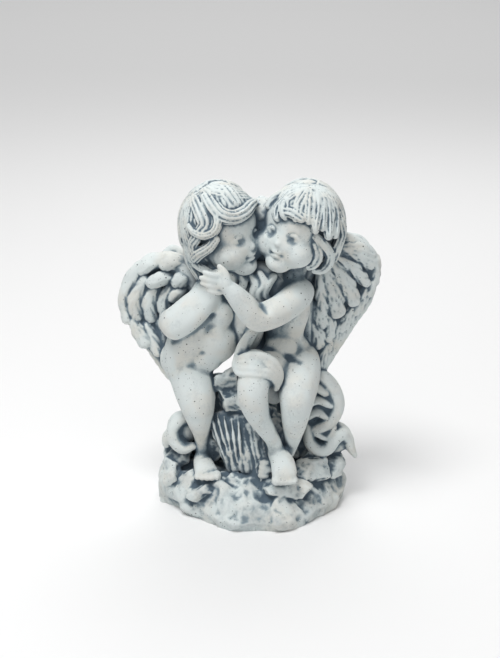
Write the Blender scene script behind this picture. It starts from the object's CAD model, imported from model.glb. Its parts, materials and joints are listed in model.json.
import json
from math import atan2, cos, degrees, exp, pi, radians, sin, sqrt

import bmesh
import bpy
import numpy as np
from mathutils import Euler, Matrix, Vector, noise
from mathutils.bvhtree import BVHTree

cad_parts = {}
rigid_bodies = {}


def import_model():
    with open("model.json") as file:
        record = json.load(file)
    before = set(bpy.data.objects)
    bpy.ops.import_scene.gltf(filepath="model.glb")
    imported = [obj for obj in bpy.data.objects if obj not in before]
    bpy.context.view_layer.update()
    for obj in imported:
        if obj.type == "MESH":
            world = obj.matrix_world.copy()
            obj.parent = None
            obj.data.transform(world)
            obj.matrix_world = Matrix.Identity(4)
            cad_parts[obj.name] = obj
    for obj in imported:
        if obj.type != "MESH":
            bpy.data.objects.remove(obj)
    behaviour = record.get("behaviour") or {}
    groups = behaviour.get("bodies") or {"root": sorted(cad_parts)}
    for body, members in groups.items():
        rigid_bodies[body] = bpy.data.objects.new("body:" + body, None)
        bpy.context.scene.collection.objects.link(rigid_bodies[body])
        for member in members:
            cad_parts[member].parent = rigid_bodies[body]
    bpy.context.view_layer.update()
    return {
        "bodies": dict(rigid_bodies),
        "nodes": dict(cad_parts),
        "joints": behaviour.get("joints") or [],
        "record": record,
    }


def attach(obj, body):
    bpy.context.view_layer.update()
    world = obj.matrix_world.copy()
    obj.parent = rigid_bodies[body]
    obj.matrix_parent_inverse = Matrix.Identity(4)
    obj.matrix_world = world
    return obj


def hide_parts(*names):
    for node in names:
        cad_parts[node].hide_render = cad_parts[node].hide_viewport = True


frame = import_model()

bpy.ops.object.select_all(action="DESELECT")

# The bodies and heads
# The real statue is one casting of concrete, from a mould that was taken off a clay model. It is made here
# as that clay was: lumps and rolls are packed together, kneaded into one body and rubbed smooth. Lengths are
# in millimetres, measured up from the level where the cherubs' feet stand.

MM = 0.001
STANDING_LEVEL = 38
FLESH_GRAIN = 1.0
FLESH_RUBS = 50


def lump(clay, place, radii, turn=(0, 0, 0), frame=Matrix(), rounds=3):
    """An ellipsoid with half-sizes radii, turned by degrees about X, Y and Z."""
    turned = Euler([radians(angle) for angle in turn]).to_matrix().to_4x4()
    matrix = frame @ Matrix.Translation(place) @ turned @ Matrix.Diagonal((*radii, 1))
    bmesh.ops.create_icosphere(clay, subdivisions=rounds, radius=1, matrix=matrix)


def smooth_stations(stations, steps):
    """Stations on a Catmull-Rom curve through the given ones, every number of a station alike."""
    full = [tuple(s) if len(s) != 4 else (*s, s[3]) for s in stations]
    ends = [full[0], *full, full[-1]]
    found = []
    for before, start, end, after in zip(ends, ends[1:], ends[2:], ends[3:]):
        for step in range(steps):
            t = step / steps
            found.append([
                0.5 * (2 * b + (c - a) * t + (2 * a - 5 * b + 4 * c - d) * t**2
                       + (3 * b - a - 3 * c + d) * t**3)
                for a, b, c, d in zip(before, start, end, after)
            ])
    return [*found, full[-1]]


def roll(clay, stations, facing=(0, -1, 0), frame=Matrix(), steps=4, sides=12, relief=None):
    """A roll of clay through stations (x, y, z, half width, half thickness), flattened to lie facing that
    way. A station of four numbers is round. Both ends are domed. relief gives the height of the carving on
    it, from the length run along it, the angle round it and its half width there."""
    path = smooth_stations(stations, steps)
    places = [Vector(s[:3]) for s in path]
    rings = []
    last = len(path) - 1
    run = 0
    for i, (place, station) in enumerate(zip(places, path)):
        run += (place - places[max(i - 1, 0)]).length
        along = (places[min(i + 1, last)] - places[max(i - 1, 0)]).normalized()
        across = along.cross(Vector(facing)).normalized()
        through = across.cross(along)
        dome = (90, 60, 30) if i == 0 else (0,)
        dome = dome + (0, -30, -60, -90) if i == last else dome
        for angle in dome:
            swell = max(cos(radians(angle)), 0.05)
            middle = place - along * station[4] * sin(radians(angle))
            ring = []
            for k in range(sides):
                turn = 2 * pi * k / sides
                proud = relief(run, turn, station[3]) if relief else 0
                ring.append(clay.verts.new(frame @ (
                    middle
                    + across * (station[3] + proud) * swell * cos(turn)
                    + through * (station[4] + proud) * swell * sin(turn)
                )))
            rings.append(ring)
    for ring, following in zip(rings, rings[1:]):
        for k in range(sides):
            m = (k + 1) % sides
            clay.faces.new((ring[k], ring[m], following[m], following[k]))
    clay.faces.new(rings[0][::-1])
    clay.faces.new(rings[-1])


def knead(clay, name, grain, rubs):
    """Make one closed body of the lumps of clay, and rub it smooth."""
    mesh = bpy.data.meshes.new(name)
    clay.to_mesh(mesh)
    clay.free()
    body = bpy.data.objects.new(name, mesh)
    bpy.context.collection.objects.link(body)
    body.select_set(True)
    bpy.context.view_layer.objects.active = body
    remesh = body.modifiers.new("Knead", "REMESH")
    remesh.mode = "VOXEL"
    remesh.voxel_size = grain
    remesh.use_smooth_shade = True
    rub = body.modifiers.new("Rub", "SMOOTH")
    rub.iterations = rubs
    bpy.ops.object.modifier_apply(modifier="Knead")
    bpy.ops.object.modifier_apply(modifier="Rub")
    body.select_set(False)
    return body


def pack_on(clay, body):
    """Put a finished body on the clay that it belongs to."""
    clay.from_mesh(body.data)
    mesh = body.data
    bpy.data.objects.remove(body)
    bpy.data.meshes.remove(mesh)


def surface(body):
    """The places of a body's points and the directions in which they face, as two tables."""
    mesh = body.data
    places = np.empty(3 * len(mesh.vertices), dtype=np.float32)
    facing = np.empty(3 * len(mesh.vertices), dtype=np.float32)
    mesh.vertices.foreach_get("co", places)
    mesh.vertex_normals.foreach_get("vector", facing)
    return places.reshape(-1, 3), facing.reshape(-1, 3)


def move_surface(body, places):
    body.data.vertices.foreach_set("co", places.astype(np.float32).ravel())
    body.data.update()


def press(body, place, radius, push, frame=Matrix()):
    """Press a thumb of that radius into the clay: it gives way by push, and less towards the rim."""
    places, facing = surface(body)
    away = np.linalg.norm(places - np.array(frame @ Vector(place)), axis=1) / radius
    give = np.clip(1 - away**2, 0, 1) ** 2
    move_surface(body, places + give[:, None] * np.array(frame.to_3x3() @ Vector(push)))


def crease(body, path, radius, depth, frame=Matrix()):
    """Score a line into the clay with a round tool of that radius. A negative depth raises a ridge."""
    places, facing = surface(body)
    line = [np.array(frame @ Vector(point)) for point in smooth_stations(path, 4)]
    away = np.full(len(places), float(radius))
    for start, end in zip(line, line[1:]):
        stretch = end - start
        share = np.clip((places - start) @ stretch / max(stretch @ stretch, 1e-9), 0, 1)
        away = np.minimum(away, np.linalg.norm(places - start - share[:, None] * stretch, axis=1))
    give = np.clip(1 - (away / radius) ** 2, 0, 1) ** 2
    move_surface(body, places - facing * (depth * give)[:, None])


def head_frame(place, yaw, tilt, size):
    """The head's own axes: -Y is where the face looks. It turns by yaw and then tilts to the side."""
    return (
        Matrix.Translation(place)
        @ Matrix.Rotation(radians(tilt), 4, "Y")
        @ Matrix.Rotation(radians(yaw), 4, "Z")
        @ Matrix.Scale(size, 4)
    )


BOY_HEAD = head_frame((-24, 1, 241), yaw=50, tilt=-6, size=1.08)
GIRL_HEAD = head_frame((46, 0, 244), yaw=-30, tilt=14, size=1.08)

flesh = bmesh.new()
# The boy stands with his weight on one leg and a hand behind his hip
roll(flesh, [(-58, 5, 100, 25, 21), (-55, 4, 118, 28, 23), (-47, 0, 136, 28, 24),
             (-43, -2, 152, 26, 21), (-38, -2, 168, 25, 18), (-36, 1, 180, 19, 14),
             (-32, 4, 194, 13, 13), (-29, 6, 206, 13, 13)], facing=(0.35, -0.94, 0), sides=16)
lump(flesh, (-34, -6, 136), (25, 19, 28))
lump(flesh, (-42, -6, 115), (17, 16, 16))
lump(flesh, (-28, -13, 160), (14, 10, 14))
lump(flesh, (-61, 9, 108), (26, 22, 22))
lump(flesh, (-22, 4, 168), (13, 14, 18))
roll(flesh, [(-40, -9, 174, 16), (-50, -14, 167, 17.5), (-60, -16, 159, 17.5), (-68, -15, 153, 17)])
roll(flesh, [(-68, -14, 153, 16.5), (-75, 2, 148, 13), (-70, 20, 140, 10), (-60, 30, 134, 8.5)])
lump(flesh, (-54, 33, 132), (8, 6, 8))
roll(flesh, [(-58, 3, 104, 22), (-55, -4, 92, 21.5), (-51, -13, 77, 19.5), (-49, -17, 65, 16.5),
             (-47.5, -17, 52, 12.5), (-46.5, -13, 39, 8.8), (-46, -10, 26, 6.8), (-46, -8, 14, 7)])
roll(flesh, [(-56, 14, 98, 17), (-50, 16, 74, 13), (-44, 18, 48, 9), (-40, 20, 22, 7)])
roll(flesh, [(-47, -2, 7, 8, 8), (-45, -16, 8, 10, 9), (-41, -30, 4, 12.5, 7)], facing=(0, 0, 1))
# The girl sits with her ankles crossed and reaches up to his cheek
roll(flesh, [(42, 9, 104, 25, 21), (38, 6, 118, 22, 18), (34, 3, 132, 19, 16), (35, 2, 146, 19.5, 16),
             (38, 1, 162, 21, 17), (39, 2, 176, 19, 14), (41, 3, 190, 12, 12), (45, 5, 206, 12, 12)],
     facing=(-0.3, -0.95, 0), sides=16)
lump(flesh, (31, -6, 124), (17, 14, 16))
lump(flesh, (27, 8, 168), (12, 11, 14))
roll(flesh, [(48, -5, 180, 15), (41, -15, 176, 15), (27, -29, 170, 14.5), (12, -38, 167, 14),
             (6, -41, 169, 13.5), (-3, -45, 180, 12), (-12, -48, 192, 10), (-19, -49, 200, 7.8),
             (-24, -49, 205, 7.5)])
roll(flesh, [(50, 6, 106, 20), (49, -12, 101, 20.5), (47, -28, 94, 19.5), (45.5, -38, 85, 17.5),
             (44.5, -40, 74, 15), (43.5, -38, 61, 12.8), (42.5, -33, 46, 9.5), (41, -27, 32, 6.8),
             (38, -24, 22, 6.5)])
roll(flesh, [(38, -22, 20, 6, 6), (27, -28, 16, 7, 6), (16, -36, 13, 8.5, 5)], facing=(-0.5, -0.8, 0.2))
roll(flesh, [(32, 6, 108, 19), (18, -20, 110, 18), (6, -40, 106, 16), (4, -46, 98, 15.5),
             (4.5, -47, 86, 14.8), (9, -45, 70, 11.8), (17, -42, 54, 9), (23, -38, 42, 7.8),
             (26, -36, 32, 8)])
roll(flesh, [(26, -34, 27, 9, 9), (32, -44, 22, 12, 10), (34, -55, 14, 13, 7.5)], facing=(0, -0.5, 0.9))
# Two children's heads, 80 from chin to crown, with full cheeks
for head in (BOY_HEAD, GIRL_HEAD):
    lump(flesh, (0, 4, 2), (31, 34, 35), frame=head)
    lump(flesh, (0, -5.5, 6), (28, 24, 21), frame=head)
    lump(flesh, (0, -8, -13), (26, 24, 24), frame=head)
    lump(flesh, (0, -21, -31), (12, 10, 8.5), frame=head)
    for side in (-1, 1):
        lump(flesh, (12.5 * side, -16.5, -18), (15, 13.5, 13), frame=head)
bodies = knead(flesh, "bodies", FLESH_GRAIN, FLESH_RUBS)

# The marks of thumb and tool: navel and groins, the arm that lies on his side, the folds of chest and belly
press(bodies, (-44, -23, 125), 4.5, (0, 2.4, 0))
press(bodies, (-40, -26, 106), 14, (1, 3, 1))
press(bodies, (30, -18, 106), 14, (0, 5, 0))
press(bodies, (14, -44, 182), 12, (-2, 2.5, -2))
crease(bodies, [(-34, -26, 178), (-44, -30, 165), (-56, -30, 155), (-68, -27, 147)], 13, -2)
crease(bodies, [(-34, -24, 163), (-42, -26, 155), (-52, -26, 147), (-63, -24, 139), (-74, -14, 133)], 5, 2.4)
crease(bodies, [(-37, -22, 148), (-32, -23, 143), (-26, -22, 142), (-21, -19, 145), (-16, -15, 149)], 8, 0.7)
crease(bodies, [(-54, -18, 109), (-47, -17, 105), (-40, -14, 103), (-33, -12, 103)], 8, 0.8)
crease(bodies, [(14, -17, 130), (26, -18, 125), (38, -19, 120), (48, -25, 117)], 5, 2)
crease(bodies, [(12, -36, 182), (14, -42, 178), (17, -47, 174)], 4, 1.6)
crease(bodies, [(-19, -58, 203), (-14, -52, 206), (-12, -44, 207)], 3, 1.2)
crease(bodies, [(-53, -31, 60), (-46, -33, 58)], 5, 1.0)
crease(bodies, [(40, -54, 72), (50, -53, 70)], 6, 0.8)


# The faces, hands and feet
# Both cherubs have the same plain child's face, drawn up from common proportions: eyes at half the head's
# height and an eye's width apart, the mouth a third of the way from nose to chin, at rest. The fingers and
# toes are small rolls and lumps. The finer clay is kneaded with the bodies and rubbed only a little.

FACE_GRAIN = 0.8

finer = bmesh.new()
pack_on(finer, bodies)
for head in (BOY_HEAD, GIRL_HEAD):
    roll(finer, [(0, -26.8, -3, 1.8), (0, -29, -8, 2.1), (0, -31.2, -12, 2.8)], frame=head)
    roll(finer, [(-5.6, -28.8, -20.9, 0.8), (-2.2, -30.8, -19.8, 1.5), (0, -30.8, -20.2, 1.4),
                 (2.2, -30.8, -19.8, 1.5), (5.6, -28.8, -20.9, 0.8)], frame=head)
    roll(finer, [(-4.6, -28.8, -22.6, 0.9), (0, -30.4, -23.2, 1.9), (4.6, -28.8, -22.6, 0.9)], frame=head)
    for side in (-1, 1):
        lump(finer, (2.7 * side, -29.8, -13), (1.8, 1.9, 1.6), frame=head)
# The hand at his cheek: the back of the hand, four bent fingers and the thumb
lump(finer, (-26, -48, 207), (8.5, 6, 9))
for finger in range(4):
    reach = (-41, -44, -43, -38)[finger]
    height = 214.5 - 5.4 * finger
    roll(finer, [(-27, -50.5, height - 3, 2.7), (-35, -52, height - 1, 2.6), (reach, -48, height, 2.3)])
roll(finer, [(-20, -49, 207, 4), (-22, -48, 214, 3.4), (-27, -46, 219, 2.8)])
for toe in range(5):
    share = toe / 4
    size = 3.1 + 1.2 * share
    lump(finer, (-50 + 19 * share, -34.5 - 4 * sin(2.2 * share), 3 + 2 * share), (size, 7.5, size))
    size = 4.3 - 1.1 * share
    lump(finer, (25.5 + 18 * share, -59.5 + 3 * share**2, 10 - share), (size, 7.5, size + 0.4))
for toe in range(4):
    lump(finer, (15.5 - 0.5 * toe, -36 - toe, 18 - 4.2 * toe), (6, 4, 3))
skin = knead(finer, "skin", FACE_GRAIN, 3)

for head in (BOY_HEAD, GIRL_HEAD):
    for side in (-1, 1):
        press(skin, (11 * side, -28.5, -4.5), 8.5, (0, 3.4, 0), head)
        press(skin, (6.4 * side, -31, -21), 3.5, (0, 1.0, 0), head)
        press(skin, (1.5 * side, -32.5, -15), 1.5, (0, 1.2, 0.6), head)
    press(skin, (0, -32, -26.5), 6, (0, 1.3, 0), head)
    crease(skin, [(0, -32, -16), (0, -32, -18.4)], 1.6, 0.5, head)
    crease(skin, [(-6, -28.8, -21.7), (-2, -31.9, -21.4), (2, -31.9, -21.4), (6, -28.8, -21.7)],
           1.7, 1.7, head)

finer = bmesh.new()
pack_on(finer, skin)
for head in (BOY_HEAD, GIRL_HEAD):
    for side in (-1, 1):
        lump(finer, (11 * side, -21.9, -5), (5.8, 4.8, 4.1), frame=head)
        roll(finer, [(5.4 * side, -24.8, -5, 0.9), (8.5 * side, -26.6, -2, 1.2),
                     (12 * side, -26.5, -1.6, 1.2), (16.8 * side, -23.2, -4.4, 1)], frame=head)
        roll(finer, [(5.8 * side, -24.6, -6, 0.7), (10.8 * side, -25.8, -8.9, 0.9),
                     (16.4 * side, -23, -5.8, 0.7)], frame=head)
skin = knead(finer, "skin", FACE_GRAIN, 1)
for head in (BOY_HEAD, GIRL_HEAD):
    for side in (-1, 1):
        press(skin, (10.8 * side, -26.5, -5), 1.8, (0, 1.2, 0), head)
# Wrist, ankle and knuckle lines
crease(skin, [(-52, -20, 13), (-46, -21, 16), (-39, -16, 14)], 2.5, 0.5)
crease(skin, [(21, -48, 36), (27, -48, 34), (34, -42, 36)], 2.5, 0.6)


# The boy's hair
# It is parted at the crown and combed down and forward in soft strands, with a rolled forelock, a broad
# lock at the temple and one that winds to the jaw. The mass is combed with a toothed tool, and each lock is
# a grooved roll that is laid on it.

HAIR_GRAIN = 0.9


def strands(count, groove):
    """Carving of a lock: sharp grooves along it, between round strands that drift a little to one side."""
    return lambda run, turn, width: groove * (2 * abs(cos(0.5 * count * turn + 0.03 * run)) - 1.2)


class Hair:
    """The ellipsoid that a head's hair lies on. A lock is drawn on it by its x and z, as seen from the
    front, or by its bearing round the head from the front, towards +X, and its height angle."""

    def __init__(self, centre, radii, count, groove):
        self.centre, self.radii = Vector(centre), Vector(radii)
        self.count, self.groove = count, groove

    def front(self, x, z, lift):
        (cx, cy, cz), (rx, ry, rz) = self.centre, self.radii
        depth = 1 - ((x - cx) / rx) ** 2 - ((z - cz) / rz) ** 2
        return Vector((x, cy - ry * sqrt(max(depth, 0)) - lift, z))

    def around(self, bearing, height, lift):
        turn, rise = radians(bearing), radians(height)
        outward = Vector((sin(turn) * cos(rise), -cos(turn) * cos(rise), sin(rise)))
        return self.centre + outward * self.radii + outward * lift

    def lock(self, clay, points, lift=1.5, laid=None):
        """A lock of hair through points (x, z, half width, half thickness), or other coordinates as laid."""
        laid = laid or self.front
        places = [laid(a, b, lift) for a, b, *size in points]
        stations = [(*place, *point[2:]) for place, point in zip(places, points)]
        roll(clay, stations, facing=(places[len(places) // 2] - self.centre).normalized(),
             sides=6 * self.count, relief=strands(self.count, self.groove))

    def back(self, clay, first, last, count, low):
        """Wavy locks side by side, from the crown down the back of the head, between two bearings."""
        for i in range(count):
            bearing = first + (last - first) * i / (count - 1)
            points = []
            for step in range(7):
                height = 72 + (low - 72) * step / 6
                wave = 5 * sin(1.9 * step + 1.3 * i)
                points.append((bearing + wave, height, 2.5 + 1.2 * step - 0.12 * step**2, 1 + 0.5 * step))
            points[-1] = (*points[-1][:2], 2.5, 2.5)
            self.lock(clay, points, lift=0.5, laid=self.around)


def curl(clay, stations, count=9, groove=0.6):
    """A free lock of hair."""
    roll(clay, stations, sides=6 * count, relief=strands(count, groove))


def comb(body, centre, crown, teeth, depth):
    """Draw a toothed tool from the crown down over the hair. The strands wander as they go."""
    places, facing = surface(body)
    axis = (Vector(crown) - Vector(centre)).normalized()
    side = axis.orthogonal().normalized()
    other = axis.cross(side)
    heights = []
    for x, y, z in places.tolist():
        place = Vector((x, y, z))
        away = (place - Vector(centre)).normalized()
        wander = 2.6 * noise.noise(place / 19) + 0.7 * noise.noise(place / 7)
        groove = abs(sin(0.5 * teeth * atan2(away.dot(other), away.dot(side)) + wander))
        start = min(1, 2.2 * sqrt(max(0, 1 - away.dot(axis) ** 2)))
        heights.append(depth * (groove**0.7 - 0.6) * start)
    move_surface(body, places + facing * np.array(heights)[:, None])


mass = bmesh.new()
lump(mass, (-29, 13, 244), (34, 34, 39.5))
lump(mass, (-42, 10, 228), (21, 31, 31))
lump(mass, (-41, 3, 246), (24, 28, 32))
lump(mass, (-24, 2, 266), (28, 29, 16), turn=(0, 8, 0))
boy_mass = knead(mass, "boy hair", HAIR_GRAIN, 4)
comb(boy_mass, (-30, 8, 240), (-33, 18, 284), 60, 2.2)

locks = bmesh.new()
pack_on(locks, boy_mass)
hair = Hair((-27, 5, 242), (36, 39, 41.5), 9, 1.1)
Hair((-29, 12, 243), (35, 37, 40.5), 8, 1.1).back(locks, -85, -235, 9, low=-48)
# Long strands are combed over the crown, towards the far side of the brow
for k in (1, 2, 3):
    hair.lock(locks, [(-70, 58 + 6 * k, 4, 2), (-30, 55 + 7 * k, 5, 2.5), (15, 49 + 8 * k, 5, 2.5),
                      (55, 41 + 9 * k, 5, 2.5), (85, 33 + 9 * k, 3, 2)], lift=0, laid=hair.around)
# The forelock rolls over the brow from the crown to the far temple
hair.lock(locks, [(-40, 277, 5, 3), (-34, 271, 7, 5), (-26, 264, 7, 6), (-15, 261, 6.5, 6),
                  (-5, 263, 6.5, 6), (1, 266, 5.5, 5), (5, 267, 3.5, 3)], lift=2)
hair.lock(locks, [(-24, 282, 7, 3), (-18, 277, 9, 4), (-12, 270, 8, 4)], lift=0)
# The lock at the temple sweeps back into a curl
hair.lock(locks, [(-50, 272, 6, 3), (-43, 264, 8, 4), (-39, 255, 8, 4), (-44, 247, 6, 4)], lift=1)
hair.lock(locks, [(-41, 276, 3, 3), (-33, 268, 4, 4), (-29, 259, 4.5, 5), (-32, 250, 4.5, 5),
                  (-41, 245, 4, 4.5), (-50, 246, 3.5, 4), (-55, 250, 2.5, 3)], lift=2)
hair.lock(locks, [(-48, 241, 5, 3), (-52, 233, 5, 3), (-50, 224, 4, 3)], lift=1)
# The lock below it winds forward to the jaw
hair.lock(locks, [(-30, 242, 3.5, 3), (-36, 234, 4.5, 4), (-45, 226, 5, 4.5), (-50, 218, 5, 4.5)], lift=1)
curl(locks, [(-50, -6, 219, 5, 4.5), (-48, -13, 211, 4.5, 4), (-41, -20, 208, 4, 3.5),
             (-33, -25, 206, 3.5, 3), (-29, -27, 209, 2, 2)])
curl(locks, [(-54, 0, 226, 6, 5), (-55, 2, 212, 6, 5), (-50, 2, 200, 5, 4), (-44, 0, 190, 4, 4)])


# The girl's hair
# It is combed forward from the crown into a fringe of strongly grooved strands, longest in front of the ear,
# with a lock that flies back at the far temple and curls on the cheek. It is made as the boy's is, and meets
# his between the two heads.

mass = bmesh.new()
lump(mass, (54, 13, 244), (33, 35, 41))
lump(mass, (64, 10, 237), (22, 29, 31))
lump(mass, (54, 2, 266), (29, 31, 17), turn=(0, 10, 0))
lump(mass, (55, 2, 262), (31, 32, 22))
lump(mass, (66, 6, 250), (21, 26, 24))
girl_mass = knead(mass, "girl hair", HAIR_GRAIN, 4)
comb(girl_mass, (52, 8, 240), (55, 10, 285), 56, 1.8)
pack_on(locks, girl_mass)
hair = Hair((50, 4, 241), (38, 40, 43), 7, 1.2)
Hair((54, 12, 243), (34.5, 37, 42), 8, 1.1).back(locks, 75, 225, 9, low=-44)
fringe = [
    ((40, 279), (30, 271), (26, 260)),
    ((46, 281), (37, 275), (34, 265)),
    ((51, 282), (44, 276), (41, 265)),
    ((55, 282), (51, 275), (49, 263)),
    ((58, 282), (59, 273), (58, 257)),
    ((61, 282), (67, 271), (67, 250)),
    ((65, 280), (76, 267), (76, 244)),
    ((70, 278), (82, 262), (84, 246)),
]
for i in range(2 * len(fringe) - 1):
    # A lock lies between each two of the table as well, and they take turns to lie on top
    (ax, az), (bx, bz), (cx, cz) = (
        ((a + c) / 2, (b + d) / 2) for (a, b), (c, d) in zip(fringe[i // 2], fringe[(i + 1) // 2])
    )
    end = cz - 1.5 + 3 * sin(2.7 * i)
    aside = 1.6 * sin(1.9 * i)
    hair.lock(locks, [(ax, az, 3, 2), (bx, bz, 3.8, 3.2), (cx + aside, end + 6, 4, 4),
                      (cx + aside, end, 2.6, 3.6)],
              lift=0.6 + 1.0 * (i % 2))
hair.lock(locks, [(32, 266, 4, 3), (40, 266, 5.5, 4), (49, 261, 4, 3.5)], lift=2.5)
# A flying lock at the far temple, and the curls in front of the ear
curl(locks, [(44, -2, 277, 6, 3), (33, 0, 274, 6, 3.5), (23, 0, 269, 5, 4), (18, -2, 264, 3, 3)])
curl(locks, [(62, -27, 242, 4), (69, -24, 233, 5), (75, -17, 222, 5), (74, -14, 212, 5),
             (68, -16, 206, 4), (61, -19, 206, 2.5)])
curl(locks, [(61, -26, 234, 3, 3), (64, -24, 224, 5, 3.5), (61, -22, 214, 4.5, 3.5), (55, -22, 210, 2.5, 2)],
     count=5, groove=0.9)
hair.lock(locks, [(84, 252, 5, 4), (86, 240, 5, 4), (82, 226, 6, 4), (80, 212, 5, 4)])
# Hair meets between the two heads, and five locks hang down over it at the back
lump(locks, (13, 14, 254), (22, 14, 14))
lump(locks, (12, 12, 230), (22, 14, 28))
for strand in range(5):
    x = -6 + 9 * strand
    sway = 3 * sin(2 * strand)
    curl(locks, [(0.7 * x + 4, 25, 264 - 3 * (strand % 2), 4, 3), (x + sway, 26, 248, 5.5, 4),
                 (x - sway, 25, 232, 5.5, 4), (x + sway, 24, 216, 5, 4), (x, 22, 202, 3, 2.5)],
         count=6, groove=0.9)


# The wings
# Each is a web of clay with a thick leading edge, and broad rounded feathers are laid on its front and its
# back. A blunt tool has drawn the barbs on them, slanting away from the quill.

WING_PLANE = 33


def wing_middle(z):
    """How far back the middle of a wing's thickness lies. It curves forward towards the lower tip."""
    return WING_PLANE - 0.0016 * max(0, 200 - z) ** 2


def barbs(pitch, depth, slant):
    """Carving of a feather: a raised quill, and wavering lines that slant steeply away on both sides."""
    def height(run, turn, width):
        side = cos(turn) * width
        waver = 1.1 * noise.noise((run / 11, side / 5, width))
        line = 2 * abs(cos(pi * (run - slant * abs(side)) / pitch + waver)) - 1.2
        return depth * line * min(1, abs(side) / 1.5) + 0.5 * exp(-(side / 0.9) ** 2)
    return height


def feathers(clay, shapes, carving, thickness):
    """Feathers (root, middle, tip, half width) on the front of a wing, and the same again on its back."""
    for *places, width in shapes:
        for face in (1, -1):
            root, middle, tip = (
                (x, wing_middle(z) + face * (y - wing_middle(z)), z) for x, y, z in places
            )
            roll(clay, [(*root, 0.7 * width, thickness), (*middle, width, thickness),
                        (*tip, 0.85 * width, thickness)], steps=34, sides=32, relief=carving)


plumes = bmesh.new()
roll(plumes, [(-40, 20, 168, 12), (-58, 22, 192, 11), (-76, 25, 203, 9), (-98, 29, 197, 8),
              (-113, 31, 184, 7.5), (-119, 33, 168, 7)])
roll(plumes, [(-86, 34, 190, 26, 7), (-94, 33, 162, 26, 7), (-94, 31, 136, 20, 7), (-85, 26, 110, 13, 7),
              (-74, 16, 90, 9, 7)], steps=24, sides=72, relief=barbs(14, 0.3, 3.2))
roll(plumes, [(-52, 28, 186, 16, 7), (-66, 28, 160, 20, 7), (-72, 26, 132, 16, 7)],
     steps=24, sides=60, relief=barbs(14, 0.3, 3.2))
feathers(plumes, [
    ((-88, 26, 201), (-96, 24, 198), (-102, 26, 193), 6.5),
    ((-66, 21, 203), (-74, 18, 203), (-80, 20, 200), 8),
    ((-76, 22, 188), (-85, 18, 186), (-93, 20, 182), 7.5),
    ((-58, 20, 190), (-64, 16, 187), (-69, 18, 183), 8.5),
    ((-62, 22, 176), (-68, 18, 173), (-73, 19, 168), 6.5),
], barbs(pitch=12, depth=0.35, slant=2.6), thickness=6.5)
feathers(plumes, [
    ((-108, 28, 188), (-121, 29, 166), (-119, 29, 142), 6),
    ((-100, 25, 184), (-110, 25, 163), (-109, 26, 144), 7.5),
    ((-89, 24, 180), (-96, 23, 162), (-95, 25, 144), 7.5),
    ((-76, 22, 176), (-82, 21, 163), (-81, 22, 147), 7),
    ((-112, 29, 140), (-107, 28, 131), (-101, 27, 120), 8),
    ((-99, 28, 136), (-94, 27, 125), (-88, 25, 112), 7),
    ((-87, 26, 140), (-83, 25, 124), (-79, 22, 106), 7),
], barbs(pitch=15, depth=0.45, slant=3.4), thickness=5.2)

roll(plumes, [(44, 18, 178, 12), (62, 20, 210, 11), (84, 23, 221, 10), (101, 27, 217, 9.5),
              (115, 30, 205, 9), (119, 32, 188, 8)])
roll(plumes, [(94, 33, 200, 24, 7), (97, 32, 172, 26, 7), (88, 29, 144, 19, 7), (76, 22, 112, 11, 7),
              (66, 14, 92, 8, 7)], steps=24, sides=72, relief=barbs(14, 0.25, 3.2))
roll(plumes, [(46, 14, 196, 10), (52, 16, 168, 10), (54, 18, 140, 10), (54, 18, 116, 10)])
roll(plumes, [(64, 28, 212, 16, 8), (60, 27, 190, 18, 7), (64, 26, 160, 16, 7), (66, 22, 130, 12, 7)],
     steps=24, sides=60, relief=barbs(14, 0.25, 3.2))
feathers(plumes, [
    ((87, 17, 219), (104, 20, 212), (117, 26, 199), 10),
    ((84, 15, 211), (99, 18, 198), (112, 23, 182), 6.5),
    ((79, 14, 204), (92, 16, 185), (101, 21, 163), 8.5),
    ((73, 13, 197), (80, 15, 174), (85, 18, 152), 10),
    ((68, 12, 191), (69, 13, 174), (72, 15, 155), 6),
    ((66, 17, 160), (69, 16, 150), (71, 17, 141), 9),
    ((62, 17, 140), (66, 16, 130), (67, 17, 120), 8.5),
    ((78, 20, 148), (79, 19, 138), (78, 19, 126), 6),
    ((123, 29, 200), (122, 29, 186), (117, 28, 170), 5.5),
    ((113, 28, 174), (109, 28, 164), (103, 27, 151), 7),
    ((100, 27, 154), (95, 26, 144), (90, 25, 134), 7.5),
    ((87, 25, 136), (82, 23, 126), (76, 20, 114), 7.5),
    ((76, 21, 118), (72, 18, 108), (69, 15, 98), 6),
], barbs(pitch=15, depth=0.75, slant=3.6), thickness=6)


# The cloth
# One length of soft cloth, cast with the rest: it falls in folds between the two, lies over her knee with
# a thick rolled edge, and its ends curl on the rock behind his ankle and her hip. It is rubbed smoother than
# the hair and the feathers are.

CLOTH_GRAIN = 0.9

drape = bmesh.new()
lump(drape, (6, -29, 118), (18, 20, 12), turn=(0, 8, 0))
rolled_edge = [(-10, -36, 124, 3.6), (-2, -41, 129, 4.2), (10, -44, 131, 4.6), (21, -43, 126, 4.6),
               (27, -41, 117, 4.6), (29, -40, 107, 4), (26, -40, 97, 3)]
hem = [(-13, -38, 116, 3), (-9, -46, 114, 3.2), (2, -52, 115, 3.4), (14, -51, 114, 3.2),
       (21, -47, 110, 3.2), (25, -43, 103, 3), (25, -41, 97, 2.4)]
for share in (0, 0.36, 0.68, 1):
    fold = []
    for upper, lower in zip(rolled_edge, hem):
        *place, thickness = [a + (b - a) * share for a, b in zip(upper, lower)]
        fold.append((*place, thickness + 0.7 * sin(pi * share)))
    roll(drape, fold)
roll(drape, [(-11, -34, 125, 3.2), (-13, -37, 120, 3.6), (-12, -38, 115, 3.2)])
# Its folds rise between the two bodies
roll(drape, [(10, 12, 206, 16, 9), (6, 12, 180, 22, 10), (4, 14, 150, 22, 10), (8, 18, 116, 20, 10),
             (14, 20, 96, 18, 9)])
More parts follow.
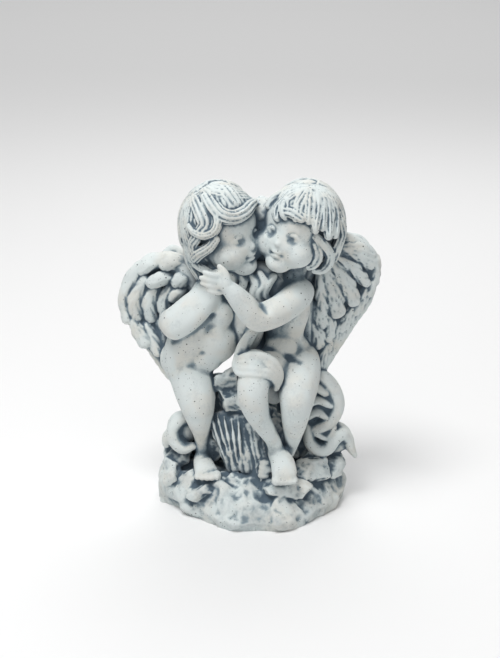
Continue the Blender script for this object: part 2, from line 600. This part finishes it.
# The cloth is thick between them, from under the chins down to the seat
lump(drape, (12, -1, 186), (24, 14, 24))
lump(drape, (-19, -6, 199), (11, 11, 13))
lump(drape, (-3, -2, 152), (19, 15, 34))
lump(drape, (24, -10, 88), (13, 13, 20))
# Five folds hang at the back, three rise from the knee, and four small grooved ones lie under the chins
for fold in range(5):
    place = -12 + 9 * fold
    sway = 4 * sin(2.3 * fold)
    roll(drape, [(10 + 0.5 * place, 19, 204 - 4 * (fold % 2), 2.5), (place + sway, 22, 172, 3.6),
                 (place + 3 - sway, 22, 140, 4.4), (1.1 * place + 6, 27, 100 + 2 * sway, 4)])
for fold in range(3):
    roll(drape, [(-13 + 6 * fold, -32 + 5 * fold, 116 + 9 * fold, 3.6),
                 (-8 + 6 * fold, -24 + 2 * fold, 132 + 6 * fold, 4),
                 (2 + 4 * fold, -18, 146 + 4 * fold, 4), (8 + 3 * fold, -14, 158 + 3 * fold, 3)])
for path in (
    [(-9, -12, 204, 3, 3), (-5, -15, 194, 3.6, 3.6), (-8, -17, 184, 3.4, 3), (-5, -18, 176, 2, 2)],
    [(1, -13, 201, 3, 3), (6, -17, 192, 4, 3.6), (4, -19, 184, 3.6, 3), (8, -18, 176, 2, 2)],
    [(10, -13, 202, 3, 3), (14, -17, 193, 4, 3.6), (9, -19, 184, 3.6, 3), (12, -18, 175, 2, 2)],
    [(24, -12, 199, 3, 3), (18, -16, 192, 4, 3.6), (15, -18, 184, 3.6, 3), (19, -17, 176, 2, 2)],
):
    roll(drape, path, steps=8, sides=40, relief=strands(4, 0.7))
# The scrolls of its end behind her hip: a broad band that turns back on itself, with small folds inside it
lump(drape, (71, 8, 63), (16, 11, 25), turn=(0, 14, 0))
roll(drape, [(62, 12, 92, 6, 10), (73, 9, 87, 7.5, 11), (82, 7, 76, 8, 11), (86, 5, 61, 8, 11),
             (81, 2, 48, 7.5, 11), (71, 0, 41, 7, 11), (60, 2, 38, 5, 10)], sides=20)
for z, reach in ((80, 71), (67, 76), (54, 74)):
    roll(drape, [(58, 1, z - 3, 4, 8), (0.5 * (58 + reach), -1, z + 2, 4.6, 8), (reach, 0, z - 2, 4, 8)])
lump(drape, (80, 6, 26), (22, 11, 18))
roll(drape, [(58, -2, 36, 5, 9), (60, -6, 26, 6.5, 9), (68, -8, 19, 7, 9), (77, -7, 20, 7, 9),
             (84, -4, 29, 7, 9), (91, 0, 32, 6.5, 9), (97, 4, 26, 6, 9), (100, 4, 17, 5, 9),
             (104, 3, 9, 3, 5)])
roll(drape, [(68, -6, 34, 3, 6), (76, -5, 31, 3.5, 6), (82, -3, 38, 3, 6)])
# Its other end curls up behind his ankle
lump(drape, (-66, 4, 36), (15, 10, 19))
roll(drape, [(-60, 1, 50, 5.5, 8), (-68, -2, 47, 6.5, 8), (-74, -4, 38, 7, 8), (-72, -7, 27, 7, 8),
             (-64, -9, 21, 6.5, 8), (-56, -10, 23, 4, 6)])
roll(drape, [(-70, 0, 30, 5, 8), (-79, -1, 32, 5, 8), (-81, 0, 24, 5, 7)])
cloth = knead(drape, "cloth", CLOTH_GRAIN, 4)
# The rolled edge on her knee stands up from the cloth, which dips inside it
press(cloth, (12, -48, 124), 12, (0, 1.6, -1))
crease(cloth, [(-6, -45, 123), (8, -49, 126), (19, -48, 121), (25, -45, 111)], 3.4, 1.2)


# The stump and the rocks
# She sits on a broken stump with split bark left on its front, among blocks of rock. The blocks are struck
# flat on several sides, and everything here is roughed over with a point.

ROCK_GRAIN = 0.9
# In radians: what is turned on by this much each time ends up spread evenly all round
EVEN_TURN = 2.4


def rock(clay, place, radii, turn=(0, 0, 0), sides=11):
    """A ball of clay that is cut flat on several sides."""
    bpy.ops.mesh.primitive_ico_sphere_add(subdivisions=4, radius=1)
    ball = bpy.context.object
    bpy.ops.object.mode_set(mode="EDIT")
    for side in range(sides):
        rise = 1 - 2 * (side + 0.5) / sides
        spin = EVEN_TURN * side + turn[2]
        level = sqrt(1 - rise**2)
        blow = Vector((level * cos(spin), level * sin(spin), rise))
        depth = 0.66 + 0.16 * sin(5 * side + turn[0])
        bpy.ops.mesh.select_all(action="SELECT")
        bpy.ops.mesh.bisect(plane_co=blow * depth, plane_no=blow, clear_outer=True, use_fill=True)
    bpy.ops.object.mode_set(mode="OBJECT")
    ball.rotation_euler = [radians(angle) for angle in turn]
    ball.scale = radii
    ball.location = place
    bpy.ops.object.transform_apply(location=True, rotation=True, scale=True)
    ball.select_set(False)
    pack_on(clay, ball)


def crags(place, size):
    """Ridged noise: sharp crests between rounded hollows."""
    return 0.5 - abs(noise.noise(place / size)) * 2


def terraces(place, size):
    """Torn patches: flat high ground and flat low ground with a steep edge between."""
    level = noise.noise(place / size) + 0.45 * noise.noise(place / (0.4 * size))
    return max(-1, min(1, level / 0.09))


def roughen(body, layers, patches):
    """Work the surface over with points of several sizes, each (size, depth), and tear it in patches."""
    places, facing = surface(body)
    heights = [
        sum(depth * crags(Vector(place), size) for size, depth in layers)
        + sum(depth * terraces(Vector(place), size) for size, depth in patches)
        for place in places.tolist()
    ]
    move_surface(body, places + facing * np.array(heights)[:, None])


blocks = bmesh.new()
rock(blocks, (20, 20, 42), (50, 29, 54), turn=(0, 0, 1))
rock(blocks, (-10, 16, 32), (38, 28, 56), turn=(0, 0, 2))
rock(blocks, (50, 12, 44), (28, 30, 46), turn=(0, 0, 3))
rock(blocks, (4, -10, 62), (33, 16, 18), turn=(10, 30, 2))
rock(blocks, (24, -14, 40), (22, 18, 30), turn=(0, 10, 5))
rock(blocks, (-21, -8, 91), (17, 13, 17), turn=(20, 30, 4), sides=7)
rock(blocks, (-14, -8, 72), (24, 14, 22), turn=(6, 24, 4), sides=7)
rock(blocks, (-26, 8, 74), (24, 20, 28), turn=(0, 0, 2))
rock(blocks, (-36, -5, 24), (15, 14, 24), turn=(0, 10, 3))
rock(blocks, (-2, -12, 52), (24, 12, 16), turn=(0, 20, 5))
# Low blocks lie all round the foot of the stump
for place, radii, turn in (
    ((-70, 12, 8), (22, 26, 22), (10, 20, 3)),
    ((-76, -10, -4), (14, 18, 16), (20, 0, 5)),
    ((-44, -34, -12), (26, 20, 15), (0, 0, 1)),
    ((10, -30, 4), (16, 14, 14), (0, 30, 2)),
    ((60, -22, 2), (24, 22, 14), (20, 0, 7)),
    ((84, -2, 2), (13, 24, 13), (30, 10, 2)),
    ((36, -46, -5), (28, 22, 11), (15, 0, 4)),
    ((-8, -38, -6), (26, 20, 9), (25, 10, 1)),
    ((-44, 36, 14), (34, 22, 30), (0, 10, 4)),
    ((44, 40, 14), (38, 22, 34), (0, 10, 1)),
):
    rock(blocks, place, radii, turn=turn)
stones = knead(blocks, "stones", ROCK_GRAIN, 1)
roughen(stones, ((18, 1.3), (6, 0.5), (2.6, 0.2)), ((20, 0.6), (6, 0.15)))


def splinters(run, turn, width):
    """Carving of split bark: sharp uneven ridges that run along it."""
    return 2.4 * (0.4 - 2 * abs(noise.noise((cos(turn) * width / 2.6, run / 34, width / 9))))


# Three broad rolls of bark, and five thin strips that stand off them
bark = bmesh.new()
for path in (
    [(-26, -11, 57, 11, 4), (-23, -17, 44, 13, 6), (-18, -22, 26, 11, 6), (-15, -24, 8, 9, 6)],
    [(-10, -15, 56, 11, 4), (-8, -21, 38, 12, 6), (-4, -25, 24, 11, 6), (-2, -27, 8, 9, 6)],
    [(8, -21, 52, 11, 4), (10, -26, 34, 12, 6), (13, -29, 20, 11, 6), (14, -31, 6, 8, 5)],
):
    roll(bark, path, steps=14, sides=120, relief=splinters)
for strip in range(5):
    spread = strip / 4
    roll(bark, [(-37 + 27 * spread, -15 - 7 * spread, 60 - 9 * spread, 0.8, 4),
                (-31 + 22 * spread, -22 - 5 * spread, 42 - 4 * spread, 1.7, 5),
                (-24 + 16 * spread, -26 - 3 * spread, 19 + 5 * sin(2 * strip), 0.8, 4)], steps=8, sides=16)
splits = knead(bark, "bark", ROCK_GRAIN, 0)
roughen(splits, ((12, 0.8), (3, 0.2)), ())


# The mound
# The statue stands on a low mound of rock with a thick lip, rough on top and flat beneath. Its clay is laid
# in rings from below the ground up over the lip to the level where the feet stand.

MOUND_HEIGHT = 38
MOUND_WIDTH = 186
MOUND_DEPTH = 155
MOUND_SHIFT = 3
BELOW_GROUND = 8
# Every 30 degrees round the mound from +X towards the back: how far it reaches as a share of an ellipse, how
# thick its edge is as a share of its height, and over what share of its radius it then rises to its top
MOUND_RIM = (
    (1.00, 0.34, 0.28), (1.00, 0.40, 0.25), (0.98, 0.45, 0.20), (1.00, 0.50, 0.16), (1.00, 0.50, 0.16),
    (1.00, 0.55, 0.16), (1.01, 0.60, 0.13), (0.85, 0.42, 0.16), (0.87, 0.24, 0.30), (1.00, 0.20, 0.50),
    (0.98, 0.22, 0.48), (0.90, 0.26, 0.36),
)


def rim_at(angle):
    """The row of the rim table at an angle, between its neighbours."""
    step = (degrees(angle) % 360) / 30
    before = int(step)
    share = (1 - cos(pi * (step - before))) / 2
    return [a + (b - a) * share for a, b in zip(MOUND_RIM[before % 12], MOUND_RIM[(before + 1) % 12])]


AROUND = 240
INWARD = 60

ground = bmesh.new()
rows = []
for share in (-2, -1, *(i / INWARD for i in range(INWARD + 1))):
    row = []
    for k in range(AROUND):
        angle = 2 * pi * k / AROUND
        reach, lip, slope = rim_at(angle)
        reach *= 1 + 0.02 * sin(9 * angle) + 0.015 * sin(14 * angle)
        edge = Vector((MOUND_WIDTH / 2 * cos(angle), MOUND_DEPTH / 2 * sin(angle), 0)) * reach
        if share < 0:
            place = edge * (0.97 if share == -1 else 0.94)
            height = 0 if share == -1 else -BELOW_GROUND
        else:
            place = edge * (1 - share)
            rise = sin(min(1, share / slope) * pi / 2)
            height = MOUND_HEIGHT * (lip + (0.97 - lip) * rise)
            height += 4.2 * crags(place, 26) + 2.2 * crags(place, 12)
        row.append(ground.verts.new((place.x + MOUND_SHIFT, place.y, height - STANDING_LEVEL)))
    rows.append(row)
for row, following in zip(rows, rows[1:]):
    for k in range(AROUND):
        m = (k + 1) % AROUND
        ground.faces.new((row[k], row[m], following[m], following[k]))
ground.faces.new(rows[0][::-1])
ground.faces.new(rows[-1])
mound = knead(ground, "mound", ROCK_GRAIN, 1)
roughen(mound, ((30, 1.8), (11, 0.45), (3, 0.15)), ((30, 1.2), (10, 0.2)))


# The casting
# All the clay becomes one body, as the mould gives it back in concrete. It is cut off flat below, where the
# back of the mould was struck level, and stands for the one solid of the frame.

CAST_GRAIN = 0.8
FACETS = 190000
# This moves the middle of the statue, as seen from above, to the origin
CENTRING = (-1.0, -1.6)

bark_surface = BVHTree.FromPolygons([v.co for v in splits.data.vertices],
                                    [p.vertices for p in splits.data.polygons])
rocks = bmesh.new()
for body in (stones, splits, mound):
    pack_on(rocks, body)
rock_surface, hair_surface, wing_surface = (BVHTree.FromBMesh(clay) for clay in (rocks, locks, plumes))
whole = bmesh.new()
for body in (skin, cloth):
    pack_on(whole, body)
for clay in (rocks, locks, plumes):
    carved = bpy.data.meshes.new("carved")
    clay.to_mesh(carved)
    clay.free()
    whole.from_mesh(carved)
    bpy.data.meshes.remove(carved)
statue = knead(whole, "statue", CAST_GRAIN, 1)

statue.select_set(True)
bpy.context.view_layer.objects.active = statue
thin = statue.modifiers.new("Thin", "DECIMATE")
thin.ratio = min(1, FACETS / (2 * len(statue.data.polygons)))
bpy.ops.object.modifier_apply(modifier="Thin")
bpy.ops.object.mode_set(mode="EDIT")
bpy.ops.mesh.select_all(action="SELECT")
bpy.ops.mesh.bisect(plane_co=(0, 0, -STANDING_LEVEL), plane_no=(0, 0, -1), clear_outer=True, use_fill=True)
bpy.ops.object.mode_set(mode="OBJECT")
bpy.ops.object.shade_smooth()
underside = [p for p in statue.data.polygons if p.normal.z < -0.99 and p.center.z < 0.01 - STANDING_LEVEL]
for face in underside:
    face.use_smooth = False


# The finish
# The casting is pale grey concrete. It was painted over with a thin blue-grey wash and wiped, so the wash
# stays in the hollows and grooves. Small air holes show everywhere, and the rock is left blotched.

RAYS = 12
# How far the rays look from each point, and how far off the surface they start
WASH_REACH = 40
START_OFF = 0.35
# A point is of the rock, bark, hair or wing that lies within this of it
BELONGS_WITHIN = 1.2
# How deep a groove and a hollow are where they hold all the wash they can
GROOVE_DEPTH = 0.45
HOLLOW_DEPTH = 3
# A point that misses no more of the sky than this is wiped clean. The rest say how much wash stays where
OPEN_SKY = 0.07
IN_SHADE = 2.1
IN_HOLLOWS = 0.25
IN_GROOVES = 0.5
IN_HAIR_GROOVES = 0.35
ON_HAIR = 0.12
ON_FEATHERS = 0.084
ON_BARK = 0.25

places, facing = surface(statue)
mesh = statue.data
rock_share, bark_share, hair_share, wing_share = (
    np.array([float(tree.find_nearest(place, BELONGS_WITHIN)[3] is not None) for place in places.tolist()])
    for tree in (rock_surface, bark_surface, hair_surface, wing_surface)
)

# How much of the sky each point misses, seen over a spread of rays
tree = BVHTree.FromPolygons([v.co for v in mesh.vertices], [p.vertices for p in mesh.polygons])
reference = np.where(np.abs(facing[:, 2:3]) < 0.9, [[0.0, 0.0, 1.0]], [[1.0, 0.0, 0.0]])
east = np.cross(reference, facing)
east /= np.maximum(np.linalg.norm(east, axis=1), 1e-9)[:, None]
north = np.cross(facing, east)
starts = (places + START_OFF * facing).tolist()
hidden = np.zeros(len(places))
for ray in range(RAYS):
    spread = sqrt((ray + 0.5) / RAYS)
    turn = EVEN_TURN * ray
    aims = (facing * sqrt(1 - spread**2) + east * spread * cos(turn) + north * spread * sin(turn)).tolist()
    for i, (start, aim) in enumerate(zip(starts, aims)):
        distance = tree.ray_cast(start, aim, WASH_REACH)[3]
        if distance is not None:
            hidden[i] += 1 - distance / WASH_REACH
hidden /= RAYS

# How far each point lies under the surface round it, once for grooves and once for broader hollows
edges = np.empty(2 * len(mesh.edges), dtype=np.int64)
mesh.edges.foreach_get("vertices", edges)
one, two = edges.reshape(-1, 2).T
neighbours = np.bincount(one, minlength=len(places)) + np.bincount(two, minlength=len(places))


def spread_out(values, rounds):
    """Average a value of every point with its neighbours' values."""
    for _ in range(rounds):
        total = np.bincount(one, values[two], len(values)) + np.bincount(two, values[one], len(values))
        values = 0.5 * values + 0.5 * total / np.maximum(neighbours, 1)
    return values


def sunk(rounds):
    level = np.stack([spread_out(places[:, axis].astype(float), rounds) for axis in range(3)], axis=1)
    return np.sum((level - places) * facing, axis=1)


hidden = spread_out(hidden, 1)
groove = np.clip(sunk(6) / GROOVE_DEPTH, -1, 1)
hollow = np.clip(sunk(60) / HOLLOW_DEPTH, -1, 1)
on_carving = np.maximum(ON_HAIR * hair_share, ON_FEATHERS * wing_share)
wash = IN_SHADE * (hidden - OPEN_SKY) + IN_HOLLOWS * hollow
wash = spread_out(wash + on_carving + ON_BARK * bark_share, 3)
wash = np.clip(wash + (IN_GROOVES + IN_HAIR_GROOVES * hair_share) * groove, 0, 1)
for name, values in (("wash", wash), ("rock", spread_out(rock_share, 2)),
                     ("worn", np.clip(-groove, 0, 1))):
    layer = mesh.attributes.new(name, "FLOAT", "POINT")
    layer.data.foreach_set("value", values.astype(np.float32))

statue.data.transform(Matrix.Scale(MM, 4) @ Matrix.Translation((*CENTRING, STANDING_LEVEL)))

PALE_STONE = (0.64, 0.70, 0.695, 1)
WARM_STONE = (0.65, 0.655, 0.61, 1)
WORN_STONE = (0.74, 0.77, 0.76, 1)
SLATE_WASH = (0.088, 0.125, 0.16, 1)
THIN_WASH = (0.265, 0.325, 0.355, 1)
AIR_HOLE = (0.035, 0.045, 0.055, 1)

stone = bpy.data.materials.new("washed cast stone")
stone.use_nodes = True
nodes, links = stone.node_tree.nodes, stone.node_tree.links
shader = nodes["Principled BSDF"]
shader.inputs["Roughness"].default_value = 0.82
shader.inputs["Specular IOR Level"].default_value = 0.3
shader.inputs["Metallic"].default_value = 0
where = nodes.new("ShaderNodeTexCoord").outputs["Object"]


def connect(source, socket):
    if isinstance(source, (int, float, tuple)):
        socket.default_value = source
    else:
        links.new(source, socket)


def maths(operation, *sources, clamp=False):
    node = nodes.new("ShaderNodeMath")
    node.operation = operation
    node.use_clamp = clamp
    for source, socket in zip(sources, node.inputs):
        connect(source, socket)
    return node.outputs[0]


def grain(scale, detail=3, roughness=0.55):
    node = nodes.new("ShaderNodeTexNoise")
    node.inputs["Scale"].default_value = scale
    node.inputs["Detail"].default_value = detail
    node.inputs["Roughness"].default_value = roughness
    links.new(where, node.inputs["Vector"])
    return node.outputs["Fac"]


def stretched(source, low, high):
    node = nodes.new("ShaderNodeMapRange")
    node.inputs["From Min"].default_value = low
    node.inputs["From Max"].default_value = high
    links.new(source, node.inputs["Value"])
    return node.outputs["Result"]


def painted(share, under, over):
    node = nodes.new("ShaderNodeMix")
    node.data_type = "RGBA"
    connect(share, node.inputs["Factor"])
    connect(under, node.inputs["A"])
    connect(over, node.inputs["B"])
    return node.outputs["Result"]


def attribute(name):
    node = nodes.new("ShaderNodeAttribute")
    node.attribute_name = name
    return node.outputs["Fac"]


def holes(scale, radius, share):
    """Air holes: a dot in a share of the cells, dark within the radius."""
    cells = nodes.new("ShaderNodeTexVoronoi")
    cells.inputs["Scale"].default_value = scale
    links.new(where, cells.inputs["Vector"])
    chance = nodes.new("ShaderNodeSeparateColor")
    links.new(cells.outputs["Color"], chance.inputs["Color"])
    chosen = maths("GREATER_THAN", chance.outputs["Red"], 1 - share)
    size = maths("MULTIPLY", chance.outputs["Green"], radius)
    near = maths("SUBTRACT", maths("ADD", size, 0.4 * radius), cells.outputs["Distance"])
    return maths("MULTIPLY", chosen, stretched(near, 0, 0.5 * radius))


pits = maths("MAXIMUM", holes(250, 0.16, 0.18), holes(540, 0.22, 0.2))
blotches = stretched(grain(70, 4), 0.40, 0.66)
specks = stretched(grain(420, 4, 0.7), 0.35, 0.70)
rough_rock = attribute("rock")
loaded = maths("ADD", attribute("wash"), maths("MULTIPLY", maths("SUBTRACT", blotches, 0.35), 0.16))
loaded = maths("ADD", loaded, maths("MULTIPLY", maths("SUBTRACT", specks, 0.5), 0.14))
patches = maths("MULTIPLY", rough_rock, maths("MULTIPLY", stretched(grain(44, 4), 0.42, 0.64), 0.22))
loaded = maths("ADD", loaded, patches, clamp=True)
bare = painted(stretched(grain(34, 2), 0.45, 0.62), PALE_STONE, WARM_STONE)
colour = painted(stretched(loaded, 0, 0.42), bare, THIN_WASH)
colour = painted(stretched(loaded, 0.38, 0.80), colour, SLATE_WASH)
colour = painted(maths("MULTIPLY", attribute("worn"), 0.35), colour, WORN_STONE)
colour = painted(pits, colour, AIR_HOLE)
links.new(colour, shader.inputs["Base Color"])

relief = maths("SUBTRACT", maths("MULTIPLY", grain(900, 3, 0.6), 0.35), pits)
relief = maths("ADD", relief, maths("MULTIPLY", grain(260, 3), 0.45))
bump = nodes.new("ShaderNodeBump")
bump.inputs["Strength"].default_value = 0.35
bump.inputs["Distance"].default_value = 0.0008
links.new(relief, bump.inputs["Height"])
links.new(bump.outputs["Normal"], shader.inputs["Normal"])

statue.data.materials.clear()
statue.data.materials.append(stone)
statue.select_set(False)
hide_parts("angel_statue")
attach(statue, "root")


# The camera, floor and light
# The camera looks a little down at the front from a metre and a half away. The floor is plain and pale, and
# the light comes softly from broad panels above and from all round.

AIM = Vector((0, 0, 0.179))
DISTANCE = 1.5
LOOKING_DOWN = radians(20)
PICTURE_ROWS = 658
METRES_PER_ROW = 0.00096
FILM_HEIGHT = 36

camera = bpy.data.objects.new("camera", bpy.data.cameras.new("camera"))
bpy.context.collection.objects.link(camera)
back = Vector((0, -cos(LOOKING_DOWN), sin(LOOKING_DOWN)))
camera.location = AIM + back * DISTANCE
camera.rotation_euler = back.to_track_quat("Z", "Y").to_euler()
camera.data.lens = FILM_HEIGHT * DISTANCE / (PICTURE_ROWS * METRES_PER_ROW)
bpy.context.scene.camera = camera

bpy.ops.mesh.primitive_plane_add(size=30, location=(0, 0, 0))
floor = bpy.context.object
floor.name = "floor"
floor.select_set(False)
paper = bpy.data.materials.new("pale paper")
paper.use_nodes = True
paper.node_tree.nodes["Principled BSDF"].inputs["Base Color"].default_value = (0.86, 0.86, 0.86, 1)
paper.node_tree.nodes["Principled BSDF"].inputs["Roughness"].default_value = 0.9
floor.data.materials.append(paper)

# Two panels are aimed at the statue, and two broad ones face straight down
for name, place, power, size, aimed in (
    ("key", (-0.4, -0.5, 1.8), 21, 0.7, True),
    ("rim", (0.2, 1.1, 1.2), 5, 1.0, True),
    ("front ceiling", (0, -3.2, 2.4), 40, 4, False),
    ("back ceiling", (0, 3.2, 2.4), 40, 4, False),
):
    light = bpy.data.lights.new(name, "AREA")
    light.energy = power
    light.size = size
    panel = bpy.data.objects.new(name, light)
    bpy.context.collection.objects.link(panel)
    panel.location = place
    if aimed:
        panel.rotation_euler = (Vector(place) - AIM).to_track_quat("Z", "Y").to_euler()

room = bpy.data.worlds.new("room")
room.use_nodes = True
room.node_tree.nodes["Background"].inputs["Color"].default_value = (1, 1, 1, 1)
room.node_tree.nodes["Background"].inputs["Strength"].default_value = 0.3
bpy.context.scene.world = room
bpy.context.scene.view_settings.view_transform = "Standard"
